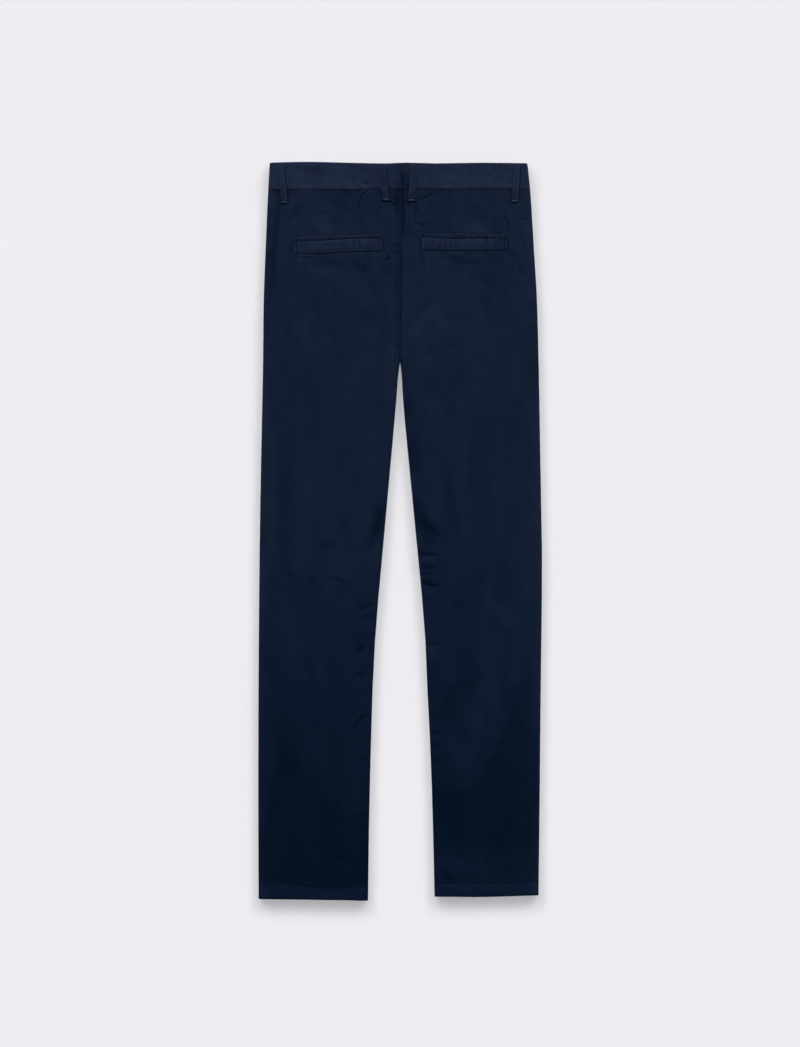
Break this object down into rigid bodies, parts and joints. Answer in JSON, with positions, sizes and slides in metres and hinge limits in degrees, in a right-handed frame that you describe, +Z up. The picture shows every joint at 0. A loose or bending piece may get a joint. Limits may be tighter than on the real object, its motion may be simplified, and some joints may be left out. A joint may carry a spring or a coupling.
{
  "type": "chino trousers",
  "caption": "Slim chino trousers in navy twill, laid flat with the back up: waistband, belt loops, welt pockets, tapered legs.",
  "frame": {"origin": "on the surface that the garment lies on, under the middle of its box", "axes": "+Y from the hems to the waist, +Z up from the front to the back of the garment, +X to the wearer's right"},
  "size_m": [0.4094, 1.0664, 0.0101],
  "materials": {
    "leg_twill": "matt cotton twill, fine diagonal rib",
    "band_twill": "matt cotton twill, fused and pressed",
    "welt_twill": "matt cotton twill, folded and pressed",
    "button_resin": "satin resin button"
  },
  "bodies": {
    "root": {"back_panel_left": "leg_twill", "back_panel_right": "leg_twill", "front_panel_left": "leg_twill", "front_panel_right": "leg_twill", "front_pocket_facing_left": "leg_twill", "front_pocket_facing_right": "leg_twill", "waistband_left": "band_twill", "waistband_right": "band_twill", "belt_loop_side_left": "band_twill", "belt_loop_centre_left": "band_twill", "belt_loop_centre_right": "band_twill", "belt_loop_side_right": "band_twill", "belt_loop_front_left": "band_twill", "belt_loop_front_right": "band_twill", "back_pocket_welt_left": "welt_twill", "back_pocket_welt_right": "welt_twill", "back_pocket_lip_left": "welt_twill", "back_pocket_lip_right": "welt_twill", "waist_button": "button_resin"}
  },
  "joints": []
}
